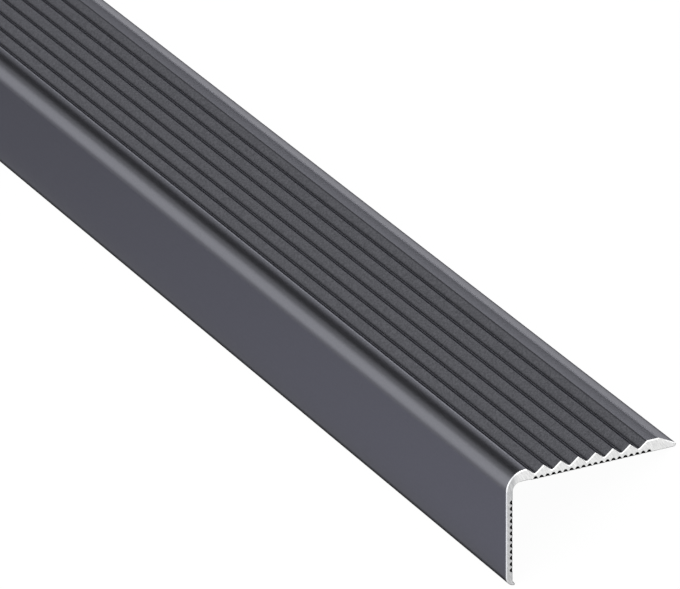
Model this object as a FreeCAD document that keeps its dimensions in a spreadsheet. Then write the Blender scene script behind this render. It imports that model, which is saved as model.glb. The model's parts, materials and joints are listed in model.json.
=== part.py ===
import FreeCAD, Part
import math
import os

import Sketcher
from FreeCAD import Placement, Rotation, Vector

# Stair nosing: one length of extruded aluminium angle for the edge of a step.
# The section is drawn in millimetres as it is used, with Y back along the tread and Z up.
# Its zero is where the planes of the front face and of the ridge tops would meet.

# name, value, what it measures
SIZES = (
    ("bar_length", 1000, "length of the cut bar"),
    ("tread_width", 40, "front face to back edge"),
    ("face_height", 26, "ridge tops to toe"),
    ("tread_thickness", 2.8, "ridge tops to underside"),
    ("leg_thickness", 1.55, "wall of the leg"),
    ("nose_radius", 4.4, "outside of the rounded nose"),
    ("inner_radius", 1.9, "hollow corner under the nose"),
    ("relief_depth", 0.2, "step up of the underside behind the corner"),
    ("relief_end", 5.6, "front face to the end of that relief"),
    ("relief_ramp", 0.5, "slope from the relief down to the underside"),
    ("lip_depth", 0.5, "how far the toe curls in past the leg"),
    ("lip_thickness", 0.45, "edge of the curled toe"),
    ("lip_ramp", 0.5, "rise of the curled toe to the leg"),
    ("bevel_run", 4.0, "width of the bevel along the back"),
    ("back_thickness", 0.8, "flat back edge under the bevel"),
    ("back_radius", 0.4, "rounding of the back edge"),
    ("smooth_width", 4.75, "front face to the first groove"),
    ("groove_pitch", 4.075, "one anti-slip groove and its ridge"),
    ("groove_depth", 1.45, "ridge tops to the groove's root"),
    ("groove_root", 0.46, "radius in the groove's root"),
    ("ridge_flat", 0.15, "flat on each ridge"),
    ("back_land", 1.5, "least land between the last groove and the bevel"),
    ("key_start", 6.8, "front face, or ridge tops, to the first key groove"),
    ("key_pitch", 1.41, "spacing of the key grooves for adhesive"),
    ("key_mouth", 0.88, "width of a key groove at the surface"),
    ("key_depth", 0.66, "depth of a key groove"),
    ("key_back", 5.5, "least distance from a key groove to the back edge"),
    ("key_toe", 2.9, "least distance from a key groove to the toe"),
    ("deburr", 0.25, "edge broken round the cut ends"),
)

UNDER_RELIEF = "(Sizes.tread_thickness - Sizes.relief_depth)"
TOE_RADIUS = "(Sizes.leg_thickness + Sizes.lip_depth)"
BEVEL_START = "(Sizes.tread_width - Sizes.bevel_run)"
GROOVE_MOUTH = "(Sizes.groove_pitch - Sizes.ridge_flat)"
GROOVE_COUNT = f"floor(({BEVEL_START} - Sizes.back_land - Sizes.smooth_width) / Sizes.groove_pitch)"
TREAD_KEYS = "floor((Sizes.tread_width - Sizes.key_back - Sizes.key_start) / Sizes.key_pitch) + 1"
LEG_KEYS = "floor((Sizes.face_height - Sizes.key_toe - Sizes.key_start) / Sizes.key_pitch) + 1"
BACK_ROUNDING = "min(Sizes.back_radius, Sizes.back_thickness / 2)"
END_DEBURR = "min(Sizes.deburr, 1.25 * Sizes.ridge_flat, 0.6 * Sizes.lip_thickness)"

# Sketcher's names for the ends and the centre of an edge, and for a sketch's axes
START, END, CENTRE = range(1, 4)
ORIGIN = (-1, 1)
H_AXIS, V_AXIS = range(-1, -3, -1)
CLOSE = 1e-4


def size_sheet(doc):
    sheet = doc.addObject("Spreadsheet::Sheet", "Sizes")
    for row, (name, value, note) in enumerate(SIZES, start=1):
        sheet.set(f"A{row}", note)
        sheet.set(f"B{row}", str(value))
        sheet.setAlias(f"B{row}", name)
    doc.recompute()
    return sheet


def value_of(expression):
    """What an expression on the size sheet comes to, as a number."""
    found = FreeCAD.ActiveDocument.getObject("Sizes").evalExpression(expression)
    return float(getattr(found, "Value", found))


def new_sketch(body, name):
    """A sketch across the bar, with its own x along the tread and its own y up."""
    across = next(plane for plane in body.Origin.OriginFeatures if plane.Role == "YZ_Plane")
    sketch = body.newObject("Sketcher::SketchObject", name)
    sketch.AttachmentSupport = [(across, "")]
    sketch.MapMode = "FlatFace"
    return sketch


def line(sketch, start, end):
    return sketch.addGeometry(Part.LineSegment(Vector(*start), Vector(*end)), False)


def arc(sketch, centre, radius, start_degrees, end_degrees):
    """An arc that runs anticlockwise from its start angle to its end angle."""
    circle = Part.Circle(Vector(*centre), Vector(0, 0, 1), radius)
    ends = math.radians(start_degrees), math.radians(end_degrees)
    return sketch.addGeometry(Part.ArcOfCircle(circle, *ends), False)


def rule(sketch, *words):
    return sketch.addConstraint(Sketcher.Constraint(*words))


def bind(sketch, name, expression, kind, *places):
    """A dimension that follows an expression on the size sheet."""
    index = rule(sketch, kind, *places, value_of(expression))
    sketch.renameConstraint(index, name)
    sketch.setExpression(f"Constraints.{name}", expression)


def place(sketch, name, across, up, point):
    """Two dimensions that hold a point at its distances from the sketch's origin."""
    bind(sketch, f"{name}_across", across, "DistanceX", *ORIGIN, *point)
    bind(sketch, f"{name}_up", up, "DistanceY", *ORIGIN, *point)


def section_sketch(body):
    """The outline before any groove is cut, drawn anticlockwise from the nose."""
    sketch = new_sketch(body, "section")
    width = value_of("Sizes.tread_width")
    height = value_of("Sizes.face_height")
    thickness = value_of("Sizes.tread_thickness")
    leg = value_of("Sizes.leg_thickness")
    nose = value_of("Sizes.nose_radius")
    inner = value_of("Sizes.inner_radius")
    under = value_of(UNDER_RELIEF)
    toe = value_of(TOE_RADIUS)
    relief_end = value_of("Sizes.relief_end")
    underside_start = relief_end + value_of("Sizes.relief_ramp")
    lip_top = value_of("Sizes.lip_thickness") - height
    leg_bottom = lip_top + value_of("Sizes.lip_ramp")
    bevel_start = value_of(BEVEL_START)
    back_top = value_of("Sizes.back_thickness") - thickness

    nose_arc = arc(sketch, (nose, -nose), nose, 90, 180)
    front = line(sketch, (0, -nose), (0, toe - height))
    toe_arc = arc(sketch, (toe, toe - height), toe, 180, 270)
    lip = line(sketch, (toe, -height), (toe, lip_top))
    lip_ramp = line(sketch, (toe, lip_top), (leg, leg_bottom))
    inside = line(sketch, (leg, leg_bottom), (leg, -under - inner))
    inner_arc = arc(sketch, (leg + inner, -under - inner), inner, 90, 180)
    relief = line(sketch, (leg + inner, -under), (relief_end, -under))
    ramp = line(sketch, (relief_end, -under), (underside_start, -thickness))
    underside = line(sketch, (underside_start, -thickness), (width, -thickness))
    back = line(sketch, (width, -thickness), (width, back_top))
    bevel = line(sketch, (width, back_top), (bevel_start, 0))
    top = line(sketch, (bevel_start, 0), (nose, 0))

    rule(sketch, "Tangent", nose_arc, END, front, START)
    rule(sketch, "Tangent", nose_arc, START, top, END)
    rule(sketch, "Tangent", front, END, toe_arc, START)
    rule(sketch, "Coincident", toe_arc, END, lip, START)
    rule(sketch, "Vertical", toe_arc, CENTRE, toe_arc, END)
    rule(sketch, "Tangent", inside, END, inner_arc, END)
    rule(sketch, "Tangent", inner_arc, START, relief, START)
    chain = (lip, lip_ramp, inside)
    for this, after in zip(chain, chain[1:]):
        rule(sketch, "Coincident", this, END, after, START)
    chain = (relief, ramp, underside, back, bevel, top)
    for this, after in zip(chain, chain[1:]):
        rule(sketch, "Coincident", this, END, after, START)
    for upright in (lip, inside, back):
        rule(sketch, "Vertical", upright)
    for level in (relief, underside):
        rule(sketch, "Horizontal", level)
    rule(sketch, "PointOnObject", front, START, V_AXIS)
    rule(sketch, "PointOnObject", front, END, V_AXIS)
    rule(sketch, "PointOnObject", top, START, H_AXIS)
    rule(sketch, "PointOnObject", top, END, H_AXIS)

    bind(sketch, "nose_radius", "Sizes.nose_radius", "Radius", nose_arc)
    bind(sketch, "inner_radius", "Sizes.inner_radius", "Radius", inner_arc)
    bind(sketch, "toe_radius", TOE_RADIUS, "Radius", toe_arc)
    bind(sketch, "toe_down", "-Sizes.face_height", "DistanceY", *ORIGIN, lip, START)
    bind(sketch, "lip_thickness", "Sizes.lip_thickness", "DistanceY", lip, START, lip, END)
    bind(sketch, "lip_rise", "Sizes.lip_ramp", "DistanceY", lip_ramp, START, lip_ramp, END)
    bind(sketch, "leg_wall", "Sizes.leg_thickness", "DistanceX", *ORIGIN, inside, START)
    place(sketch, "relief", "Sizes.relief_end", f"-{UNDER_RELIEF}", (relief, END))
    bind(sketch, "relief_slope", "Sizes.relief_ramp", "DistanceX", ramp, START, ramp, END)
    place(sketch, "heel", "Sizes.tread_width", "-Sizes.tread_thickness", (underside, END))
    bind(sketch, "back_thickness", "Sizes.back_thickness", "DistanceY", back, START, back, END)
    bind(sketch, "bevel_start", BEVEL_START, "DistanceX", *ORIGIN, top, START)
    return sketch


def groove_sketch(body):
    """One anti-slip groove: an open V with a rounded root."""
    sketch = new_sketch(body, "groove")
    mouth = value_of(GROOVE_MOUTH)
    depth = value_of("Sizes.groove_depth")
    root = value_of("Sizes.groove_root")
    near = value_of("Sizes.smooth_width")
    middle = near + mouth / 2
    centre_depth = depth - root
    reach = math.hypot(mouth / 2, centre_depth)
    slope = math.atan2(centre_depth, mouth / 2) + math.asin(root / reach)
    run = root * math.sin(slope)
    drop = centre_depth + root * math.cos(slope)
    tilt = math.degrees(slope)

    near_side = line(sketch, (near, 0), (middle - run, -drop))
    root_arc = arc(sketch, (middle, -centre_depth), root, 270 - tilt, 270 + tilt)
    far_side = line(sketch, (middle + run, -drop), (near + mouth, 0))
    lid = line(sketch, (near + mouth, 0), (near, 0))

    rule(sketch, "Tangent", near_side, END, root_arc, START)
    rule(sketch, "Tangent", root_arc, END, far_side, START)
    rule(sketch, "Coincident", far_side, END, lid, START)
    rule(sketch, "Coincident", lid, END, near_side, START)
    rule(sketch, "Horizontal", lid)
    rule(sketch, "Equal", near_side, far_side)
    place(sketch, "near_ridge", "Sizes.smooth_width", "0", (near_side, START))
    bind(sketch, "mouth", GROOVE_MOUTH, "DistanceX", near_side, START, far_side, END)
    bind(sketch, "root", "Sizes.groove_root", "Radius", root_arc)
    centre_up = "Sizes.groove_root - Sizes.groove_depth"
    bind(sketch, "depth", centre_up, "DistanceY", *ORIGIN, root_arc, CENTRE)
    return sketch


def key_sketch(body, name, across, up, opens_down):
    """One key groove: round, open on the underside or on the leg's inner face."""
    sketch = new_sketch(body, name)
    half = value_of("Sizes.key_mouth") / 2
    depth = value_of("Sizes.key_depth")
    radius = (half**2 + depth**2) / (2 * depth)
    middle = Vector(value_of(across), value_of(up))
    inward = Vector(0, 1) if opens_down else Vector(-1, 0)
    along = Vector(1, 0) if opens_down else Vector(0, 1)
    centre = middle + inward * (depth - radius)
    first = middle + along * half - centre
    start_degrees = math.degrees(math.atan2(first.y, first.x))
    sweep = 180 + 2 * math.degrees(math.atan2(depth - radius, half))

    bow = arc(sketch, (centre.x, centre.y), radius, start_degrees, start_degrees + sweep)
    ends = middle + along * half, middle - along * half
    mouth = line(sketch, (ends[1].x, ends[1].y), (ends[0].x, ends[0].y))
    rule(sketch, "Coincident", bow, END, mouth, START)
    rule(sketch, "Coincident", mouth, END, bow, START)
    rule(sketch, "Horizontal" if opens_down else "Vertical", mouth)
    bind(sketch, "mouth", "Sizes.key_mouth", "Distance", mouth, START, mouth, END)
    round_size = "(Sizes.key_mouth^2 / 4 + Sizes.key_depth^2) / (2 * Sizes.key_depth)"
    bind(sketch, "round", round_size, "Radius", bow)
    rise = f"(Sizes.key_depth - {round_size})"
    if opens_down:
        place(sketch, "middle", across, f"{up} + {rise}", (bow, CENTRE))
    else:
        place(sketch, "middle", f"{across} - {rise}", up, (bow, CENTRE))
    return sketch


def cut_through(body, sketch, name):
    """A groove cut along the whole bar, both ways from the sketch in its middle."""
    pocket = body.newObject("PartDesign::Pocket", name)
    pocket.Profile = sketch
    pocket.Type = "ThroughAll"
    pocket.Midplane = True
    return pocket


def repeat(body, feature, role, backwards, spacing, count):
    """Copies of a groove in a row along one of the body's axes."""
    axis = next(item for item in body.Origin.OriginFeatures if item.Role == role)
    row = body.newObject("PartDesign::LinearPattern", f"{feature.Name}_row")
    row.Originals = [feature]
    row.Direction = (axis, [""])
    row.Reversed = backwards
    row.Mode = "Spacing"
    row.setExpression("Offset", spacing)
    row.setExpression("Occurrences", count)
    body.Tip = row
    return row


def long_edges(shape, places):
    """The names of the edges that run along the bar through the given places of the section."""
    names = []
    for number, edge in enumerate(shape.Edges, start=1):
        box = edge.BoundBox
        for across, up in places:
            offsets = box.YMin - across, box.YMax - across, box.ZMin - up, box.ZMax - up
            if box.XLength > CLOSE and max(map(abs, offsets)) < CLOSE:
                names.append(f"Edge{number}")
    return names


def end_faces(shape):
    """The names of the two sawn ends."""
    return [
        f"Face{number}"
        for number, face in enumerate(shape.Faces, start=1)
        if face.BoundBox.XLength < CLOSE
    ]


def nosing_profile(doc):
    body = doc.addObject("PartDesign::Body", "nosing_profile")
    body.Label = "nosing_profile"

    bar = body.newObject("PartDesign::Pad", "bar")
    bar.Profile = section_sketch(body)
    bar.Midplane = True
    bar.setExpression("Length", "Sizes.bar_length")
    doc.recompute()

    back = body.newObject("PartDesign::Fillet", "back_rounding")
    width = value_of("Sizes.tread_width")
    heel = -value_of("Sizes.tread_thickness")
    corners = (width, heel), (width, heel + value_of("Sizes.back_thickness"))
    back.Base = (bar, long_edges(bar.Shape, corners))
    back.setExpression("Radius", BACK_ROUNDING)
    doc.recompute()

    groove = cut_through(body, groove_sketch(body), "anti_slip_groove")
    row = repeat(body, groove, "Y_Axis", False, "Sizes.groove_pitch", GROOVE_COUNT)
    doc.recompute()

    ends = body.newObject("PartDesign::Chamfer", "end_deburr")
    ends.Base = (row, end_faces(row.Shape))
    ends.setExpression("Size", END_DEBURR)
    doc.recompute()

    tread_key = key_sketch(body, "tread_key", "Sizes.key_start", "-Sizes.tread_thickness", True)
    groove = cut_through(body, tread_key, "tread_key_groove")
    repeat(body, groove, "Y_Axis", False, "Sizes.key_pitch", TREAD_KEYS)
    doc.recompute()

    leg_key = key_sketch(body, "leg_key", "Sizes.leg_thickness", "-Sizes.key_start", False)
    groove = cut_through(body, leg_key, "leg_key_groove")
    repeat(body, groove, "Z_Axis", True, "Sizes.key_pitch", LEG_KEYS)
    doc.recompute()
    return body


def lay_down(body):
    """Unheld, the bar lies like a tent, on the tip of its toe and on its rounded back edge."""
    rounding = value_of(BACK_ROUNDING)
    rise = value_of("Sizes.face_height - Sizes.tread_thickness") + rounding
    run = value_of(f"Sizes.tread_width - {TOE_RADIUS}") - rounding
    tilt = math.atan2(rise, run) - math.asin(rounding / math.hypot(rise, run))
    body.Placement = Placement(Vector(), Rotation(Vector(1, 0, 0), -math.degrees(tilt)))
    box = body.Shape.optimalBoundingBox(False)
    body.Placement.Base = Vector(-box.Center.x, -box.Center.y, -box.ZMin)


def check(doc, parts):
    for item in doc.Objects:
        if {"Invalid", "Error"} & set(item.State):
            raise RuntimeError(f"{item.Name} failed: {item.State}")
    for part in parts:
        if part.Shape.isNull() or not part.Shape.isValid():
            raise RuntimeError(f"{part.Label} has no valid shape")
        if len(part.Shape.Solids) != 1:
            raise RuntimeError(f"{part.Label} isn't one solid")


def main():
    doc = FreeCAD.newDocument("stair_nosing")
    size_sheet(doc)
    profile = nosing_profile(doc)
    lay_down(profile)
    doc.recompute()
    parts = [profile]
    check(doc, parts)
    os.makedirs("parts", exist_ok=True)
    for part in parts:
        part.Shape.exportStep(f"parts/{part.Label}.step")
        box = part.Shape.optimalBoundingBox(False)
        print(part.Label, "volume", round(part.Shape.Volume, 2), "faces", len(part.Shape.Faces))
        print("box", [round(side, 4) for side in (box.XMin, box.YMin, box.ZMin)])
        print("to", [round(side, 4) for side in (box.XMax, box.YMax, box.ZMax)])


main()
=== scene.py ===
import json
import math

import bmesh
import bpy
from mathutils import Matrix, Vector

# Stair nosing: one length of extruded aluminium angle, coated dark and sawn bare at its ends.
# Lengths are in metres, angles in degrees, and the bar runs along X.
# Places on the section are told by the bar as it is used, with its tread level:
# how far behind the leg's front face, or how far below the tops of the ridges.

MM = 0.001
NODE = "nosing_profile"

# Where the photograph's frame shows the corner of the near sawn end, in pixels
FRAME_WIDTH = 680
FRAME_HEIGHT = 589
CORNER_ACROSS = 506.4
CORNER_DOWN = 474.05

# The camera's place, told against the bar as it is used
VIEW_TURN = 27.176
VIEW_RISE = 24.631
VIEW_ROLL = -0.491
VIEW_DISTANCE = 1639.8 * MM
VIEW_CLIP = 100.0
LENS = 423.33
SENSOR = 36.0

# How squarely a face looks along the bar to count as sawn, or as flat and not the broken edge
SAWN_FACING = 0.4
FLAT_FACING = 0.95

# How squarely a face looks up, or towards the back, to be the grooves' upper or front-facing side
UPWARD_FACING = 0.5
FORWARD_FACING = -0.3

# The dark coating on every drawn face, with its faint grain and the die's faint lines
COATING = (0.0875, 0.0885, 0.098, 1.0)
COATING_PALE = (0.094, 0.095, 0.105, 1.0)
COATING_ROUGHNESS = 0.33
EDGE_TINT = (0.66, 0.66, 0.7, 1.0)
GRAIN_SIZE = 0.45 * MM
GRAIN_FROM = 0.35
GRAIN_TO = 0.65
DIE_LINE_LENGTH = 40 * MM
DIE_LINE_WIDTH = 0.3 * MM
DIE_LINE_DEPTH = 0.0012 * MM
DIE_LINE_ROUGHNESS = 0.06

# Painted shade: the coating painted darker low in the crevices and along one fine line beside the last
# groove, as the shade there
CREVICE_SHADE = (0.038, 0.0385, 0.043, 1.0)
CREVICE_REACH = 1.2 * MM
CREVICE_DARK = 0.8
CREVICE_CLEAR = 0.9
SHADE_LINE_MIDDLE = 33.02 * MM
SHADE_LINE_HALF = 0.2 * MM

# Painted light: the coating painted paler on the grooves' front-facing sides, and a painted highlight on
# the edge of the first land
GROOVES_START = 4.75 * MM
GROOVES_END = 33.1 * MM
LIT_FLANK_COATING = (0.083, 0.084, 0.093, 1.0)
LIT_FLANK_PALE = (0.124, 0.125, 0.138, 1.0)
LAND_MIDDLE = 4.57 * MM
LAND_HALF = 0.2 * MM

# The glossier bevel at the back, and a painted highlight, a pale line along its upper edge
BEVEL_EDGE = 35.63 * MM
BEVEL_START = 36.02 * MM
BEVEL_HIGHLIGHT = (0.198, 0.2, 0.221, 1.0)
BEVEL_SHEEN = 0.13

# The bare metal of the sawn ends, with painted shade that makes the leg darker than under the tread, and
# its bright broken edge
BARE = (0.85, 0.85, 0.845, 1.0)
BARE_SHADED = (0.45, 0.455, 0.46, 1.0)
BARE_ROUGHNESS = 0.42
RIM = (0.82, 0.82, 0.82, 1.0)
RIM_SHADED = (0.57, 0.575, 0.585, 1.0)
LEG_SHADE_FROM = 2.8 * MM
LEG_SHADE_TO = 1.5 * MM
LEG_SHADE_SHARE = 0.65
MOTTLE_FROM = 0.3
MOTTLE_TO = 0.7
MOTTLE_SHARE = 0.5
SAW_MARK_LENGTH = 1.6 * MM
SAW_MARK_WIDTH = 0.3 * MM
SAW_MARK_DEPTH = 0.004 * MM
SAW_MARK_DETAIL = 4.0

# The rows of key grooves, under the tread and behind the leg
UNDERSIDE = 2.8 * MM
INNER_FACE = 1.55 * MM
FIRST_KEY = 6.8 * MM
KEY_PITCH = 1.41 * MM
KEYS_START = 6.2 * MM
TREAD_KEYS_END = 34.29 * MM
LEG_KEYS_END = 23.01 * MM

# Painted shade, dark close round them on the sawn ends. Under the tread the broken edge keeps the dark
# coating too, as painted shade.
GROOVE_SHADE = (0.03, 0.03, 0.03, 1.0)
GROOVE_SHADE_HALF = 0.54 * MM
GROOVE_SHADE_DEPTH = 0.75 * MM
GROOVE_SHADE_OUTSIDE = 1.15
GROOVE_SHADE_INSIDE = 0.9
DARK_EDGE_BELOW = 2.0 * MM

# Small dark flags close behind their mouths at the near end, dark sheets standing in for shade, which
# make them show dark
FLAG_SHADE = (0.01, 0.01, 0.01, 1.0)
FLAG_SET_BACK = 0.3 * MM
FLAG_LENGTH = 1.2 * MM
FLAG_GAP = 0.01 * MM

# The studio
WHITE = (1.0, 1.0, 1.0, 1.0)
FLOOR_REACH = 60.0
FLOOR_COLOUR = (0.9, 0.9, 0.9, 1.0)
FLOOR_GLOW = 0.97
FLOOR_GLOSS = 0.85
ROOM_LIGHT = 0.85

# The cards that the coating mirrors. The front one pales along its length, towards the near end.
CARD_DARK = (0.1, 0.1, 0.1, 1.0)
CARD_GREY = (0.27, 0.27, 0.31, 1.0)
CARD_PALE = (0.74, 0.74, 0.84, 1.0)
PALING_FROM = 0.6
PALING_TO = 1.0
FRONT_CARD_PLACE = (-0.5, -0.278, 2 * MM)
UNDER_CARD_PLACE = (0.0, -0.0021, 0.05 * MM)
REAR_CARD_PLACE = (0.0, 0.031, 6.0 * MM)


class Value:
    """A number that varies over a surface. Python's operators add its Math nodes."""

    def __init__(self, nodes, socket):
        self.nodes = nodes
        self.socket = socket

    def math(self, operation, *others):
        values = dict(enumerate((self, *others)))
        return self.nodes.value("ShaderNodeMath", "Value", {"operation": operation}, values)

    def __add__(self, other):
        return self.math("ADD", other)

    def __sub__(self, other):
        return self.math("SUBTRACT", other)

    def __rsub__(self, other):
        return self * -1 + other

    def __mul__(self, other):
        return self.math("MULTIPLY", other)

    __radd__ = __add__
    __rmul__ = __mul__


class Nodes:
    """The node tree of one material or of the world."""

    def __init__(self, owner):
        owner.use_nodes = True
        self.tree = owner.node_tree
        self.tree.nodes.clear()

    def add(self, kind, settings=None, values=None):
        """One node: its settings first, then what its sockets hold or are linked to."""
        made = self.tree.nodes.new(kind)
        for name, setting in (settings or {}).items():
            setattr(made, name, setting)
        for name, value in (values or {}).items():
            source = value.socket if isinstance(value, Value) else value
            if isinstance(source, bpy.types.NodeSocket):
                self.tree.links.new(source, made.inputs[name])
            else:
                made.inputs[name].default_value = source
        return made

    def value(self, kind, output, settings=None, values=None):
        """The number that one new node gives."""
        return Value(self, self.add(kind, settings, values).outputs[output])

    def seen(self, gloss):
        """1 for what the camera sees, a share of that in gloss or through glass, and 0 for light."""
        path = self.add("ShaderNodeLightPath").outputs
        camera = Value(self, path["Is Camera Ray"])
        glossy = Value(self, path["Is Glossy Ray"])
        return camera + (glossy + Value(self, path["Is Transmission Ray"])) * gloss

    def place(self):
        """A point of the object in its own frame."""
        return self.add("ShaderNodeTexCoord").outputs["Object"]

    def reach(self, axis, start):
        """How far a point lies past a start along an axis."""
        values = {0: self.place(), 1: axis}
        return self.value("ShaderNodeVectorMath", "Value", {"operation": "DOT_PRODUCT"}, values) - start

    def facing(self, axis):
        """How squarely a face looks along an axis."""
        values = {0: self.add("ShaderNodeTexCoord").outputs["Normal"], 1: axis}
        return self.value("ShaderNodeVectorMath", "Value", {"operation": "DOT_PRODUCT"}, values)

    def noise(self, sizes, detail=2.0):
        """Soft noise from 0 to 1, with the size of its grains along each axis."""
        scale = [1 / size for size in sizes]
        place = self.add("ShaderNodeMapping", None, {"Vector": self.place(), "Scale": scale})
        values = {"Vector": place.outputs["Vector"], "Scale": 1.0, "Detail": detail}
        return self.value("ShaderNodeTexNoise", "Fac", None, values)

    def ramp(self, value, start, end):
        """0 before the start, 1 after the end and a straight rise between them."""
        values = {"Value": value, "From Min": start, "From Max": end}
        return self.value("ShaderNodeMapRange", "Result", {"clamp": True}, values)

    def within(self, value, start, end):
        """1 between a start and an end, and 0 outside."""
        return value.math("GREATER_THAN", start) * value.math("LESS_THAN", end)

    def blend(self, share, first, second):
        """A colour between two others."""
        mixed = self.add("ShaderNodeMix", {"data_type": "RGBA"}, {"Factor": share})
        ends = [socket for socket in mixed.inputs if socket.type == "RGBA"]
        for end, colour in zip(ends, (first, second)):
            if isinstance(colour, bpy.types.NodeSocket):
                self.tree.links.new(colour, end)
            else:
                end.default_value = colour
        return next(socket for socket in mixed.outputs if socket.type == "RGBA")


class Spot:
    """A point of the bar's surface: its place on the section and the way its face looks."""

    def __init__(self, nodes, bar):
        corner, along, back, up = corner_axes(bar)
        endwards = nodes.facing(along).math("ABSOLUTE")
        self.behind_nose = nodes.reach(back, corner.dot(back))
        self.below_top = nodes.reach(-up, -corner.dot(up))
        self.flat = endwards.math("GREATER_THAN", FLAT_FACING)
        self.upward = nodes.facing(up).math("GREATER_THAN", UPWARD_FACING)
        self.forward = nodes.facing(back).math("LESS_THAN", FORWARD_FACING)
        self.tread_keys = nodes.within(self.behind_nose, KEYS_START, TREAD_KEYS_END)
        self.leg_keys = nodes.within(self.below_top, KEYS_START, LEG_KEYS_END)
        # Under the tread's key grooves the broken edge is not counted as sawn, so it keeps the dark
        # coating: painted shade.
        under_keys = self.tread_keys * self.below_top.math("GREATER_THAN", DARK_EDGE_BELOW)
        self.sawn = endwards.math("GREATER_THAN", SAWN_FACING) * (1 - under_keys * (1 - self.flat))


def corner_axes(bar):
    """The nose's corner at the near sawn end, and the bar's axes as it is used."""
    mounts = {mount["name"]: mount for mount in frame["record"]["mounts"]}
    back = Vector(mounts["riser_seat"]["axis"]).normalized()
    up = -Vector(mounts["tread_seat"]["axis"]).normalized()
    along = back.cross(up)
    points = [vertex.co for vertex in bar.data.vertices]
    reach = max(point.dot(along) for point in points)
    front = min(point.dot(back) for point in points)
    ridges = max(point.dot(up) for point in points)
    return along * reach + back * front + up * ridges, along, back, up


def coating_colour(nodes, spot, grain):
    """The coating and its grain, with painted shade in the crevices, the grooves' roots, on their far
    sides, on the ridges and along one fine line, and painted highlights on their front-facing sides and
    two edges.
    """
    in_grooves = nodes.within(spot.behind_nose, GROOVES_START, GROOVES_END) * spot.upward
    specks = nodes.ramp(grain, GRAIN_FROM, GRAIN_TO)
    plain = nodes.blend(specks, COATING, COATING_PALE)
    # Painted light: paler coating on the grooves' front-facing sides and a painted highlight on the first
    # land's edge.
    lit_flank = nodes.blend(specks, LIT_FLANK_COATING, LIT_FLANK_PALE)
    land_highlight = (spot.behind_nose - LAND_MIDDLE).math("ABSOLUTE").math("LESS_THAN", LAND_HALF)
    tone = nodes.blend(land_highlight.math("MAXIMUM", in_grooves * spot.forward), plain, lit_flank)
    # Painted highlight: a pale line along the bevel's upper edge, standing in for a rounded edge catching
    # the light.
    bevel_highlight = spot.upward * nodes.within(spot.behind_nose, BEVEL_EDGE, BEVEL_START)
    tone = nodes.blend(bevel_highlight, tone, BEVEL_HIGHLIGHT)
    # Painted shade: darker coating where the occlusion finds crevices, along one fine line, and on the
    # grooves' far sides and ridges.
    open_air = nodes.value("ShaderNodeAmbientOcclusion", "AO", None, {"Distance": CREVICE_REACH})
    off_shade_line = nodes.ramp((spot.behind_nose - SHADE_LINE_MIDDLE).math("ABSOLUTE"), 0.0, SHADE_LINE_HALF)
    unshaded = nodes.ramp(open_air, CREVICE_DARK, CREVICE_CLEAR) * off_shade_line
    return nodes.blend(unshaded * (1 - in_grooves * (1 - spot.forward)), CREVICE_SHADE, tone)


def key_shade_mask(nodes, across, inward):
    """1 close round a row of key grooves, where shade is painted, by the way across the row and the depth
    in.
    """
    from_middle = (across - FIRST_KEY).math("PINGPONG", KEY_PITCH / 2)
    sides = (from_middle * (1 / GROOVE_SHADE_HALF)).math("POWER", 2)
    spread = sides + (inward * (1 / GROOVE_SHADE_DEPTH)).math("POWER", 2)
    return nodes.ramp(spread, GROOVE_SHADE_OUTSIDE, GROOVE_SHADE_INSIDE)


def sawn_colour(nodes, spot, saw_marks):
    """Bare metal, mottled by the saw, with painted shade darker on the leg and dark close round the key
    grooves.
    """
    # Painted shade: the bare metal is painted darker on the leg than under the tread.
    leg_shading = nodes.ramp(spot.behind_nose, LEG_SHADE_FROM, LEG_SHADE_TO)
    mottled = nodes.ramp(saw_marks, MOTTLE_FROM, MOTTLE_TO)
    # Painted shade: dark close round the key grooves' mouths.
    tread_key_shade = spot.tread_keys * key_shade_mask(nodes, spot.behind_nose, UNDERSIDE - spot.below_top)
    leg_key_shade = spot.leg_keys * key_shade_mask(nodes, spot.below_top, INNER_FACE - spot.behind_nose)
    face = nodes.blend(leg_shading * LEG_SHADE_SHARE + mottled * MOTTLE_SHARE, BARE, BARE_SHADED)
    face = nodes.blend(tread_key_shade + leg_key_shade, face, GROOVE_SHADE)
    return nodes.blend(spot.flat, nodes.blend(leg_shading, RIM, RIM_SHADED), face)


def bar_finish(bar):
    """Coated drawn faces, and bare metal where the bar was sawn."""
    material = bpy.data.materials.new("coated_aluminium_bar")
    nodes = Nodes(material)
    spot = Spot(nodes, bar)
    grain = nodes.noise((GRAIN_SIZE, GRAIN_SIZE, GRAIN_SIZE))
    die_lines = nodes.noise((DIE_LINE_LENGTH, DIE_LINE_WIDTH, DIE_LINE_WIDTH))
    saw_marks = nodes.noise((SAW_MARK_WIDTH, SAW_MARK_WIDTH, SAW_MARK_LENGTH), SAW_MARK_DETAIL)
    coated = coating_colour(nodes, spot, grain)
    colour = nodes.blend(spot.sawn, coated, sawn_colour(nodes, spot, saw_marks))
    bevel = spot.behind_nose.math("GREATER_THAN", BEVEL_START)
    smoothest = COATING_ROUGHNESS - DIE_LINE_ROUGHNESS / 2
    coated_roughness = die_lines * DIE_LINE_ROUGHNESS + smoothest - bevel * BEVEL_SHEEN
    roughness = spot.sawn * (BARE_ROUGHNESS - coated_roughness) + coated_roughness
    die_relief = die_lines * DIE_LINE_DEPTH
    relief = spot.sawn * (saw_marks * SAW_MARK_DEPTH - die_relief) + die_relief
    bump = nodes.add("ShaderNodeBump", None, {"Height": relief, "Distance": 1.0})
    surface = nodes.add(
        "ShaderNodeBsdfPrincipled",
        None,
        {
            "Base Color": colour,
            "Metallic": 1.0,
            "Roughness": roughness,
            "Specular Tint": EDGE_TINT,
            "Normal": bump.outputs["Normal"],
        },
    )
    nodes.add("ShaderNodeOutputMaterial", None, {"Surface": surface.outputs["BSDF"]})
    for slot in range(len(bar.data.materials)):
        bar.data.materials[slot] = material


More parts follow.
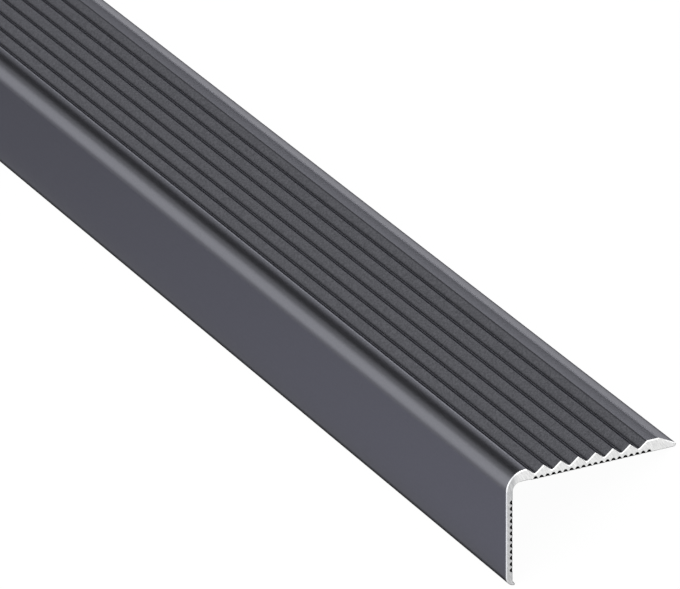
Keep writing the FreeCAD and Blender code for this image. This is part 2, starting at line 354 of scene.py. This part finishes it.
def photo_camera(bar):
    """The camera at the photograph's viewing angle, with the near end's corner at its place."""
    corner, along, back, up = corner_axes(bar)
    turn, rise, roll = (math.radians(angle) for angle in (VIEW_TURN, VIEW_RISE, VIEW_ROLL))
    level = along * math.cos(turn) - back * math.sin(turn)
    toward = level * math.cos(rise) + up * math.sin(rise)
    side = along * math.sin(turn) + back * math.cos(turn)
    top = toward.cross(side)
    right = side * math.cos(roll) + top * math.sin(roll)
    above = toward.cross(right)
    data = bpy.data.cameras.new("photo_camera")
    data.lens = LENS
    data.sensor_width = SENSOR
    data.clip_end = VIEW_CLIP
    pixel = VIEW_DISTANCE * SENSOR / LENS / FRAME_WIDTH
    across = (CORNER_ACROSS - FRAME_WIDTH / 2) * pixel
    down = (CORNER_DOWN - FRAME_HEIGHT / 2) * pixel
    place = corner + toward * VIEW_DISTANCE - right * across + above * down
    camera = bpy.data.objects.new("photo_camera", data)
    camera.matrix_world = Matrix.Translation(place) @ Matrix((right, above, toward)).transposed().to_4x4()
    bpy.context.scene.collection.objects.link(camera)
    bpy.context.scene.camera = camera


def floor_finish():
    """A pale floor that is white where it is seen, and keeps a soft share of the shadow."""
    material = bpy.data.materials.new("pale_floor")
    nodes = Nodes(material)
    matt = nodes.add("ShaderNodeBsdfDiffuse", None, {"Color": FLOOR_COLOUR})
    glow = nodes.add("ShaderNodeEmission", None, {"Color": WHITE, "Strength": 1.0})
    share = nodes.seen(FLOOR_GLOSS / FLOOR_GLOW) * FLOOR_GLOW
    both = nodes.add("ShaderNodeMixShader", None, {0: share, 1: matt.outputs[0], 2: glow.outputs[0]})
    nodes.add("ShaderNodeOutputMaterial", None, {"Surface": both.outputs[0]})
    return material


def card_finish(name, colour, near_colour=None):
    """A matt card of one colour, or one that changes to another towards the near end of the bar."""
    material = bpy.data.materials.new(name)
    nodes = Nodes(material)
    if near_colour:
        share = nodes.ramp(nodes.reach((1.0, 0.0, 0.0), 0.0), PALING_FROM, PALING_TO)
        colour = nodes.blend(share, colour, near_colour)
    matt = nodes.add("ShaderNodeBsdfDiffuse", None, {"Color": colour})
    nodes.add("ShaderNodeOutputMaterial", None, {"Surface": matt.outputs[0]})
    return material


def sheet(name, length, width, material):
    """A flat stage piece, its length along X, that the object is shown on or mirrors."""
    shape = bmesh.new()
    span = Matrix.Diagonal((length, width, 1.0, 1.0))
    bmesh.ops.create_grid(shape, x_segments=1, y_segments=1, size=0.5, matrix=span)
    mesh = bpy.data.meshes.new(name)
    shape.to_mesh(mesh)
    shape.free()
    mesh.materials.append(material)
    made = bpy.data.objects.new(name, mesh)
    bpy.context.scene.collection.objects.link(made)
    return made


def card(name, place, material, length, width):
    """A card that only the bar's finish mirrors."""
    made = sheet(name, length, width, material)
    made.matrix_world = place
    made.visible_camera = False
    made.visible_diffuse = False
    made.visible_shadow = False


def groove_flags(bar):
    """Dark flags, standing in for shade, that close the view through the key grooves, under the tread and
    behind the leg.
    """
    corner, along, back, up = corner_axes(bar)
    # Painted shade: dark sheets put where only the shade behind the grooves would be.
    shade = card_finish("flag_shade", FLAG_SHADE)
    edge = corner - along * (FLAG_SET_BACK + FLAG_LENGTH / 2)
    rows = (
        ("tread_flag", edge - up * (UNDERSIDE + FLAG_GAP), back, TREAD_KEYS_END),
        ("leg_flag", edge + back * (INNER_FACE + FLAG_GAP), -up, LEG_KEYS_END),
    )
    for name, start, way, end in rows:
        middle = start + way * (KEYS_START + end) / 2
        turn = Matrix((along, way, along.cross(way))).transposed().to_4x4()
        flag = sheet(name, FLAG_LENGTH, end - KEYS_START, shade)
        flag.matrix_world = Matrix.Translation(middle) @ turn
        flag.visible_diffuse = False
        flag.visible_glossy = False
        flag.visible_shadow = False


def facing_bar(angle, distance, along=0.0):
    """A place round the bar, at an angle up from the back, that faces it."""
    turn = math.radians(angle)
    place = Vector((along, math.cos(turn) * distance, math.sin(turn) * distance))
    return Matrix.Translation(place) @ Matrix.Rotation(turn - math.pi / 2, 4, "X")


def strip_lamp(name, place, length, width, glow):
    """A long soft lamp beside the bar. Its glow is its own brightness, where white is 1."""
    data = bpy.data.lights.new(name, "AREA")
    data.shape = "RECTANGLE"
    data.size = length
    data.size_y = width
    data.energy = glow * math.pi * length * width
    lamp = bpy.data.objects.new(name, data)
    lamp.matrix_world = place
    lamp.visible_camera = False
    bpy.context.scene.collection.objects.link(lamp)


def room():
    """White all round where it is seen, and a soft even light."""
    world = bpy.data.worlds.new("white_room")
    bpy.context.scene.world = world
    nodes = Nodes(world)
    strength = nodes.seen(1.0) * (1.0 - ROOM_LIGHT) + ROOM_LIGHT
    around = nodes.add("ShaderNodeBackground", None, {"Color": WHITE, "Strength": strength})
    nodes.add("ShaderNodeOutputWorld", None, {"Surface": around.outputs[0]})


def studio(bar):
    """The room with its floor and three lamps, and the cards and flags beside the bar."""
    room()
    sheet("floor", FLOOR_REACH, FLOOR_REACH, floor_finish())
    before = facing_bar(angle=137, distance=1.0)
    strip_lamp("front_lamp", before, length=4.0, width=1.08, glow=1.55)
    behind = facing_bar(angle=14, distance=1.5)
    strip_lamp("back_lamp", behind, length=4.0, width=0.68, glow=1.62)
    beyond_end = facing_bar(angle=55, distance=1.0, along=1.5)
    strip_lamp("end_lamp", beyond_end, length=1.2, width=0.9, glow=1.5)

    dark = card_finish("dark_card", CARD_DARK)
    grey = card_finish("grey_card", CARD_GREY, CARD_PALE)
    high = facing_bar(angle=60, distance=1.0, along=-1.9)
    card("high_card", high, dark, length=4.0, width=0.8)
    card("front_card", Matrix.Translation(FRONT_CARD_PLACE), grey, length=2.6, width=0.5)
    # Under the bar, a dark card that stands in for the shade beneath it, seen only in the coating's
    # reflections.
    card("under_card", Matrix.Translation(UNDER_CARD_PLACE), dark, length=1.0, width=0.052)
    upright = Matrix.Rotation(math.pi / 2, 4, "X")
    rear = Matrix.Translation(REAR_CARD_PLACE) @ upright
    card("rear_card", rear, dark, length=1.4, width=3.4 * MM)
    groove_flags(bar)


def main():
    """The bar's finish, the studio round it and the camera."""
    bar = frame["nodes"][NODE]
    bar_finish(bar)
    studio(bar)
    photo_camera(bar)
    bpy.context.scene.view_settings.view_transform = "Standard"


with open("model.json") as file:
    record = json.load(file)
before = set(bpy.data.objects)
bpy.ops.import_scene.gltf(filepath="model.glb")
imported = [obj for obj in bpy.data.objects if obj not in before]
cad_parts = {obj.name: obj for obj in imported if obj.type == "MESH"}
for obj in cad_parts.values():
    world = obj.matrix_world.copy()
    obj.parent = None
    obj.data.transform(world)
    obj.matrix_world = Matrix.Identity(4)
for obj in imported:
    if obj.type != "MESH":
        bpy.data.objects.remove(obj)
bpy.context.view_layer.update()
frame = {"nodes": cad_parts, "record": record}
main()
